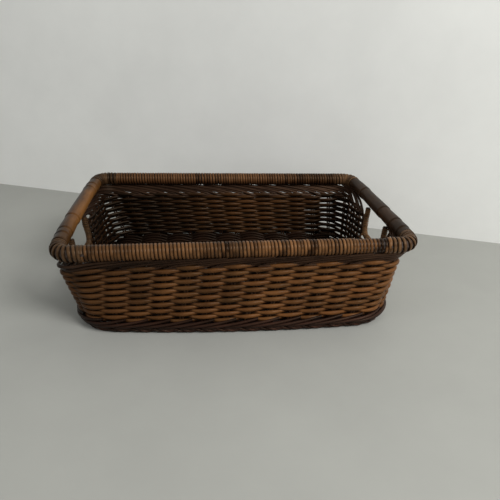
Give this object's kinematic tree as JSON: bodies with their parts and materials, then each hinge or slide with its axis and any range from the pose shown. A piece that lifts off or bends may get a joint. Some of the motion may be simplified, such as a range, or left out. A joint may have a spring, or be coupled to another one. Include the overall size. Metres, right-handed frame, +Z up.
{
  "type": "rectangular woven basket",
  "caption": "Rectangular woven rod basket with a cane-bound rim, smooth handles over hand holes and a twisted foot.",
  "frame": {"origin": "on the ground under the middle of the basket", "axes": "+X to the right along the long side, +Y to the back, +Z up"},
  "size_m": [0.463, 0.311, 0.1313],
  "materials": {
    "pole_wood": "satin stained rod",
    "long_cane": "satin varnished cane",
    "corner_cane": "satin varnished cane",
    "handle_bark": "satin varnished bark",
    "stake_rod": "satin stained rod",
    "lower_rod": "satin stained rod",
    "upper_rod": "satin stained rod",
    "foot_rod": "satin stained rod",
    "base_rod": "satin stained rod"
  },
  "bodies": {
    "root": {"front_rim_pole": "pole_wood", "right_handle_pole": "pole_wood", "back_rim_pole": "pole_wood", "left_handle_pole": "pole_wood", "right_hole_frame": "pole_wood", "left_hole_frame": "pole_wood", "front_rim_binding": "long_cane", "back_rim_binding": "long_cane", "front_right_corner_binding": "corner_cane", "back_right_corner_binding": "corner_cane", "back_left_corner_binding": "corner_cane", "front_left_corner_binding": "corner_cane", "right_hole_binding": "corner_cane", "left_hole_binding": "corner_cane", "right_handle_cover": "handle_bark", "left_handle_cover": "handle_bark", "front_stake_rod": "stake_rod", "right_front_stake_rod": "stake_rod", "right_sill_stake_rod": "stake_rod", "right_back_stake_rod": "stake_rod", "back_stake_rod": "stake_rod", "left_back_stake_rod": "stake_rod", "left_sill_stake_rod": "stake_rod", "left_front_stake_rod": "stake_rod", "lower_weaver_01": "lower_rod", "lower_weaver_02": "lower_rod", "lower_weaver_03": "lower_rod", "lower_weaver_04": "lower_rod", "lower_weaver_05": "lower_rod", "lower_weaver_06": "lower_rod", "lower_weaver_07": "lower_rod", "lower_weaver_08": "lower_rod", "lower_weaver_09": "lower_rod", "front_upper_weaver": "upper_rod", "back_upper_weaver": "upper_rod", "front_first_foot_strand": "foot_rod", "front_second_foot_strand": "foot_rod", "right_first_foot_strand": "foot_rod", "right_second_foot_strand": "foot_rod", "back_first_foot_strand": "foot_rod", "back_second_foot_strand": "foot_rod", "left_first_foot_strand": "foot_rod", "left_second_foot_strand": "foot_rod", "front_base_rail": "base_rod", "back_base_rail": "base_rod", "base_stick_1": "base_rod", "base_stick_2": "base_rod", "base_stick_3": "base_rod", "base_stick_4": "base_rod", "base_stick_5": "base_rod", "base_stick_6": "base_rod", "base_stick_7": "base_rod", "base_stick_8": "base_rod", "base_stick_9": "base_rod", "base_weaver": "base_rod"}
  },
  "joints": []
}
